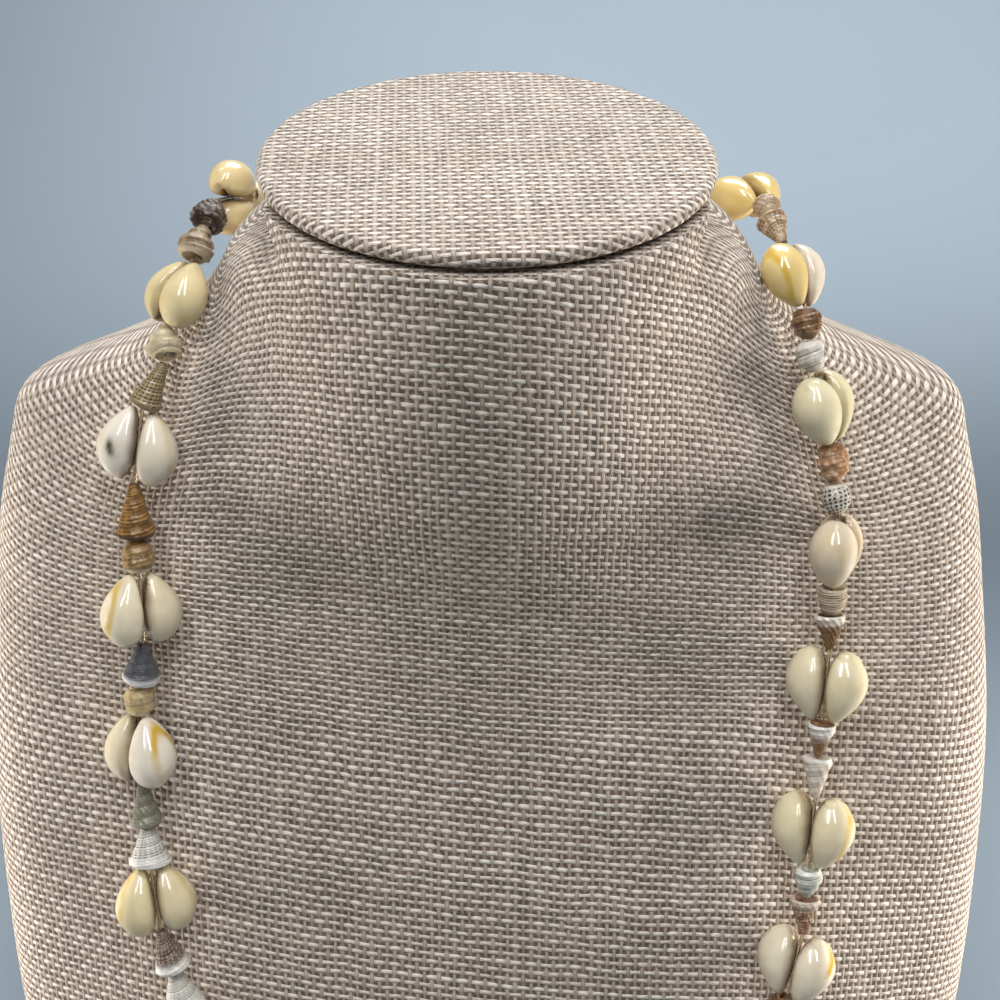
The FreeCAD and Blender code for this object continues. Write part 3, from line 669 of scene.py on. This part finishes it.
# The hollows get painted shade: dark brown in the holes and the mouth.
for share, over_it in ((seam, linear("#3a2c20")), (lip_share, lip_colour), (hollow_here, linear("#3b2012"))):
    colour = node(tree, "Mix", COLOURS, share, in6=colour, in7=over_it, out=2)
worn = node(tree, "MapRange", None, grain, 0.3, 0.7, 0.82, 1.10)
worn = node(tree, "CombineXYZ", X=worn, Y=worn, Z=worn)
colour = node(tree, "Mix", TIMES, 1.0, in6=colour, in7=worn, out=2)
tree.links.new(colour, surface.inputs["Base Color"])
surface.inputs["Roughness"].default_value = 0.36
surface.inputs["Coat Weight"].default_value = 0.3
surface.inputs["Coat Roughness"].default_value = 0.15
relief_height = node(tree, "Math", "MULTIPLY_ADD", speck, 0.5, node(tree, "Math", "MULTIPLY", grain, 0.4))
raised = node(tree, "Math", "MULTIPLY", lines, lined)
relief_height = node(tree, "Math", "MULTIPLY_ADD", raised, 0.3, relief_height)
pitted = node(tree, "Bump", Height=relief_height, Strength=0.5, Distance=0.0004)
tree.links.new(pitted, surface.inputs["Normal"])

# form, whorls, bulge, ribs (count, depth), cords (count, depth), main, second and lip colours,
# pattern shares (dashes, lines, mottle), turn of the mouth in degrees, holes (share, turn, size)
LEFT_LOOKS = (
    ("turban", 3.0, 0.20, (15, 0.05), (3, 0.02),
     "#35261d", "#a3968a", "#2c201a", (0.2, 0.1, 0.35), 60, ((0.7, 0.3, 0.34),)),
    ("turban", 3.0, 0.24, (9, 0.02), (3, 0.02),
     "#a8967c", "#6f5a44", "#cbbca3", (0.1, 0.4, 0.4), 200, ((0.32, 0.2, 0.30), (0.72, 5.9, 0.30))),
    ("turban", 2.6, 0.26, (7, 0.02), (2, 0.02),
     "#d9ccb0", "#a58c66", "#cdbd9b", (0.0, 0.2, 0.45), 180, ((0.35, 0.3, 0.26), (0.55, 5.6, 0.22))),
    ("top", 5.0, 0.09, (20, 0.02), (3, 0.02),
     "#a89672", "#42321f", "#8a7656", (0.8, 0.2, 0.2), 240, ()),
    ("top", 4.2, 0.14, (13, 0.03), (3, 0.03),
     "#6a4927", "#b48c4e", "#4a321c", (0.1, 0.5, 0.4), 200, ((0.62, 0.2, 0.20),)),
    ("nerite", 2.6, 0.14, (12, 0.02), (3, 0.02),
     "#a98c62", "#6a4a2a", "#d8c8a8", (0.1, 0.1, 0.7), 150, ((0.45, 0.4, 0.22),)),
    ("top", 4.4, 0.08, (26, 0.015), (5, 0.012),
     "#4a4b50", "#6f7076", "#e8e8e6", (0.0, 0.6, 0.3), 250, ()),
    ("nerite", 2.2, 0.18, (8, 0.04), (2, 0.02),
     "#cbb88f", "#a08455", "#d6c8a6", (0.0, 0.1, 0.6), 170, ((0.3, 0.5, 0.18), (0.7, 5.9, 0.18))),
    ("top", 4.2, 0.14, (15, 0.05), (2, 0.01),
     "#8f8c7a", "#64614f", "#a5a294", (0.2, 0.3, 0.3), 260, ()),
    ("top", 4.6, 0.08, (24, 0.015), (4, 0.02),
     "#dad8d1", "#85807a", "#f0eee8", (0.5, 0.5, 0.0), 200, ()),
    ("top", 4.0, 0.10, (18, 0.02), (3, 0.02),
     "#5a4a3c", "#cdb8a8", "#e8e4de", (0.6, 0.2, 0.2), 230, ()),
    ("top", 4.6, 0.08, (28, 0.02), (4, 0.02),
     "#dddad2", "#a39d92", "#f4f2ee", (0.3, 0.5, 0.0), 210, ()),
)
RIGHT_LOOKS = (
    ("top", 4.0, 0.12, (14, 0.04), (3, 0.03),
     "#6b3f2a", "#c9a98c", "#cfc0b0", (0.5, 0.1, 0.5), 250, ()),
    ("turban", 2.8, 0.16, (10, 0.01), (3, 0.02),
     "#d2d4c8", "#9aa094", "#ecece4", (0.0, 0.5, 0.2), 240, ()),
    ("top", 3.6, 0.14, (9, 0.03), (2, 0.02),
     "#dfd5c8", "#cab6a6", "#eeeae2", (0.0, 0.2, 0.4), 240, ()),
    ("top", 3.8, 0.12, (12, 0.02), (3, 0.02),
     "#7b5a3c", "#ab8a64", "#f0ece4", (0.2, 0.3, 0.4), 240, ()),
    ("top", 3.8, 0.12, (13, 0.09), (3, 0.02),
     "#8a6a48", "#5a3f28", "#ece4d6", (0.4, 0.1, 0.4), 240, ()),
    ("barrel", 3.0, 0.08, (20, 0.01), (3, 0.02),
     "#d6c8ac", "#6a4a30", "#d8ccb4", (0.0, 0.9, 0.1), 240, ()),
    ("nerite", 2.6, 0.08, (16, 0.01), (3, 0.01),
     "#d3cdc2", "#2b2320", "#d8d2c8", (1.0, 0.0, 0.2), 240, ()),
    ("nerite", 3.0, 0.20, (10, 0.04), (2, 0.03),
     "#a5774b", "#d6b79c", "#8a6242", (0.1, 0.2, 0.7), 160, ((0.4, 5.9, 0.22),)),
    ("nerite", 2.4, 0.12, (10, 0.01), (2, 0.01),
     "#dedad0", "#9b948a", "#e2ded4", (0.2, 0.2, 0.4), 90, ((0.5, 5.4, 0.42),)),
    ("nerite", 2.8, 0.14, (12, 0.03), (3, 0.03),
     "#5e4029", "#a98760", "#6a4a30", (0.2, 0.3, 0.5), 120, ()),
    ("top", 3.8, 0.12, (12, 0.03), (3, 0.02),
     "#8a6a4a", "#d6c6ac", "#a58a68", (0.6, 0.1, 0.5), 200, ()),
    ("turban", 2.8, 0.16, (14, 0.05), (2, 0.01),
     "#b19c80", "#8a765c", "#c4b294", (0.1, 0.2, 0.3), 200, ()),
    ("turban", 2.8, 0.18, (10, 0.03), (2, 0.02),
     "#9a8264", "#6a5238", "#b8a586", (0.2, 0.2, 0.4), 200, ()),
    ("top", 4.2, 0.12, (14, 0.03), (3, 0.02),
     "#cfc4ae", "#8c7a60", "#ded6c6", (0.4, 0.3, 0.2), 200, ()),
)
found = []
for name in ("spacer_shells_left", "spacer_shells_right"):
    for corners in islands(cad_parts[name]):
        origin, along, length, radius = small_shell_frame(corners)
        found.append([name, origin, along, length, radius])
first_pair = triangles(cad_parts["cowrie_pair_01"])[0].mean(0)
for shell in found:
    middle = shell[1] + shell[2] * shell[3] / 2
    shell.append((string_turn(middle) - string_turn(first_pair)) % (2 * math.pi))
found.sort(key=lambda shell: shell[5])
ALL_LOOKS = LEFT_LOOKS + RIGHT_LOOKS
RIGHT_START = 28
# Shells with a broad pale lip, by their place on the string: the share of the length it covers
WIDE_LIPS = {6: 0.14, 7: 0.12, 9: 0.20, 10: 0.22, 11: 0.20, 28: 0.22, 31: 0.40, 32: 0.24, 36: 0.15}
rng = np.random.default_rng(7)
groups = {}
for index, (name, origin, along, length, radius, _) in enumerate(found):
    if index < len(LEFT_LOOKS):
        look, rows, columns = LEFT_LOOKS[index], 56, 60
    elif 0 <= index - RIGHT_START < len(RIGHT_LOOKS):
        look, rows, columns = RIGHT_LOOKS[index - RIGHT_START], 56, 60
    else:
        look, rows, columns = ALL_LOOKS[rng.integers(0, len(ALL_LOOKS))], 40, 36
    form, whorls, bulge, ribs, cords, main_hex, second_hex, lip_hex, shares, turned, pits = look
    shape, coil, rim, hollow, side = coil_shape(form, length, radius, whorls, bulge, ribs, cords, pits,
                                                WIDE_LIPS.get(index, 0.08), rows, columns)
    middle = origin + along * length / 2
    nearest = bust_tree.find_nearest(Vector(middle))[0]
    outward = middle - np.array(nearest)
    outward = outward - along * (outward @ along)
    outward /= np.linalg.norm(outward)
    side_way = np.cross(along, outward)
    angle = math.radians(turned)
    y_way = outward * math.cos(angle) + side_way * math.sin(angle)
    z_way = np.cross(along, y_way)
    body = origin + shape @ np.array([along, y_way, z_way])
    if name not in groups:
        groups[name] = {key: [] for key in ("points", "faces", "uvs", *SHELL_MARKS)} | {"count": 0}
    group = groups[name]
    quads = grid_faces(rows, columns)
    wrapped = (quads % columns == 0) & ((quads % columns).max(axis=1, keepdims=True) == columns - 1)
    u = np.where(wrapped, 1.0, (quads % columns) / columns)
    v = coil.ravel()[quads] - np.where(wrapped, 1.0, 0.0)
    caps = (np.arange(columns)[::-1], (rows - 1) * columns + np.arange(columns))
    group["faces"] += [tuple(face + group["count"]) for face in (*quads, *caps)]
    group["uvs"].append(np.stack([u, v], -1).reshape(-1, 2))
    group["uvs"] += [np.zeros((columns, 2)), np.zeros((columns, 2))]
    group["points"].append(body.reshape(-1, 3))
    total = rows * columns
    group["count"] += total
    for key, hex_colour in (("main", main_hex), ("second", second_hex), ("lip", lip_hex)):
        group[key].append(np.tile(linear(hex_colour), (total, 1)))
    group["parts"].append(np.stack([rim, hollow, side, np.ones_like(rim)], -1).reshape(-1, 4))
    group["pattern"].append(np.tile((*shares, 1.0), (total, 1)))
for name, group in groups.items():
    strung = build(name + "_coiled", np.concatenate(group["points"]), group["faces"],
                   np.concatenate(group["uvs"]), "coil", lime,
                   {key: np.concatenate(group[key]) for key in SHELL_MARKS})
    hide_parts(name)
    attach(strung, "root")

# Floor and light: one sheet of plain pale paper that sweeps up behind, two long tubes high in
# front for the glints, a low soft light on each side, one behind, and one for the paper.
scene = bpy.context.scene
floor_mesh = bpy.data.meshes.new("floor")
BEND = 0.7
sweep = [(0.8 + BEND * math.sin(t), BEND - BEND * math.cos(t)) for t in np.linspace(0.05, math.pi / 2, 24)]
sweep = [(-6.0, 0.0), (0.8, 0.0)] + sweep + [(0.8 + BEND, 6.0)]
floor_mesh.from_pydata([(x, y, z) for y, z in sweep for x in (-9.0, 9.0)], [],
                       [(2 * i, 2 * i + 1, 2 * i + 3, 2 * i + 2) for i in range(len(sweep) - 1)])
floor_mesh.polygons.foreach_set("use_smooth", [True] * len(floor_mesh.polygons))
floor = bpy.data.objects.new("floor", floor_mesh)
scene.collection.objects.link(floor)
matt, _, surface = new_material("matt pale blue-grey paper")
surface.inputs["Base Color"].default_value = linear("#5f6b75")
surface.inputs["Roughness"].default_value = 0.9
floor_mesh.materials.append(matt)


def area_light(name, place, aim, width, height, power, colour, glints=True):
    """One rectangular light, unseen itself; without glints it isn't mirrored in the glaze."""
    data = bpy.data.lights.new(name, "AREA")
    data.shape = "RECTANGLE"
    data.size, data.size_y = width, height
    data.energy = power
    data.color = linear(colour)[:3]
    lamp = bpy.data.objects.new(name, data)
    lamp.location = place
    lamp.rotation_euler = (Vector(aim) - Vector(place)).to_track_quat("-Z", "Y").to_euler()
    lamp.visible_camera = False
    lamp.visible_glossy = glints
    scene.collection.objects.link(lamp)


area_light("left tube", (-0.28, -0.50, 1.25), (-0.1, 0, 0.2), 0.08, 0.9, 6.4, "#ffffff")
area_light("right tube", (0.20, -0.50, 1.25), (0.1, 0, 0.2), 0.08, 0.9, 6.4, "#ffffff")
area_light("left soft", (-0.45, 0.10, 0.12), (0, 0.03, 0.10), 0.35, 0.16, 3.3, "#fff6ec", False)
area_light("right soft", (0.45, 0.10, 0.12), (0, 0.03, 0.10), 0.35, 0.16, 4.4, "#fff6ec", False)
area_light("back soft", (0.1, 0.7, 1.2), (0, 0, 0.3), 0.8, 0.5, 12.0, "#ffffff")
area_light("paper light", (0.3, 0.75, 0.6), (0.3, 1.5, 0.25), 1.6, 0.3, 26.0, "#fff8f2", False)
world = bpy.data.worlds.new("soft room")
scene.world = world
world.use_nodes = True
world.node_tree.nodes["Background"].inputs["Color"].default_value = linear("#ebe6e0")
world.node_tree.nodes["Background"].inputs["Strength"].default_value = 0.14
scene.view_settings.view_transform = "Standard"

# The camera: a normal lens close in front of the neck, looking down at the chest.
camera = bpy.data.objects.new("camera", bpy.data.cameras.new("camera"))
camera.data.lens = 54.0
camera.data.sensor_width = 36.0
camera.data.clip_start = 0.01
camera.location = (0.0026, -0.286, 0.420)
camera.rotation_euler = (math.radians(63.0), 0.0, 0.0)
scene.collection.objects.link(camera)
scene.camera = camera
